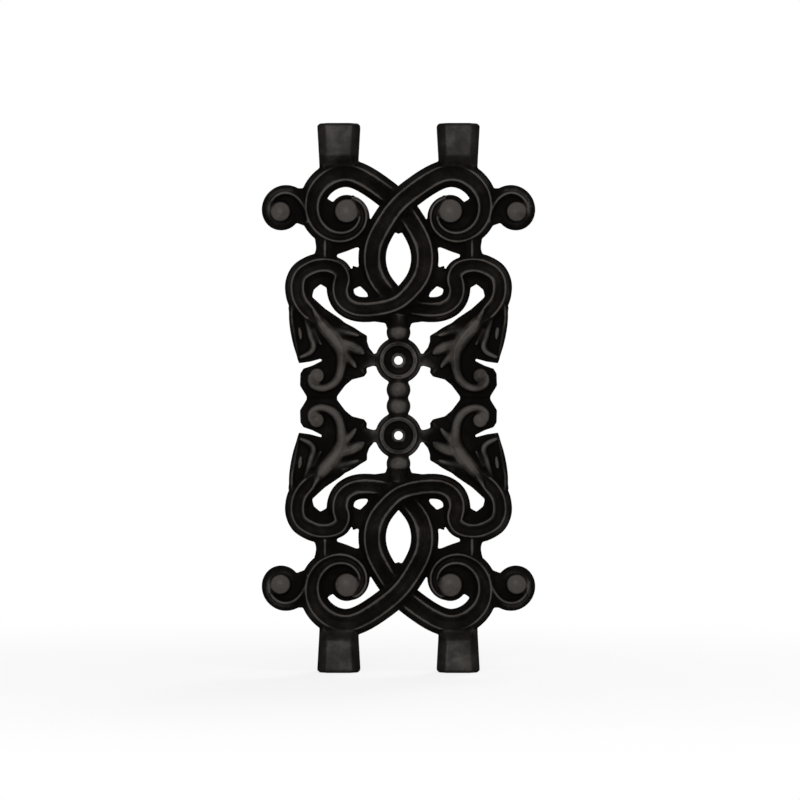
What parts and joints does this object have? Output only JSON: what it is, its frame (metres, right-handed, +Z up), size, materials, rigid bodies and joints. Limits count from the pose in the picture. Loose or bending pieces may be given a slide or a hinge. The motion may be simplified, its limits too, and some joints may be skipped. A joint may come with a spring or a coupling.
{
  "type": "cast iron railing panel",
  "caption": "Openwork railing panel with crossed ribbons, volutes and acanthus leaves, and square sockets for upright bars at each end.",
  "frame": {"origin": "midway between the two lower sockets, in the plane of their end faces", "axes": "+Z up along the bars, X across the panel, Y through its thickness, the pictured face towards -Y"},
  "size_m": [0.1996, 0.0284, 0.4],
  "materials": {
    "black_iron": "black oil-painted sand casting, satin, slightly grainy"
  },
  "bodies": {
    "root": {"panel_casting": "black_iron"}
  },
  "joints": []
}
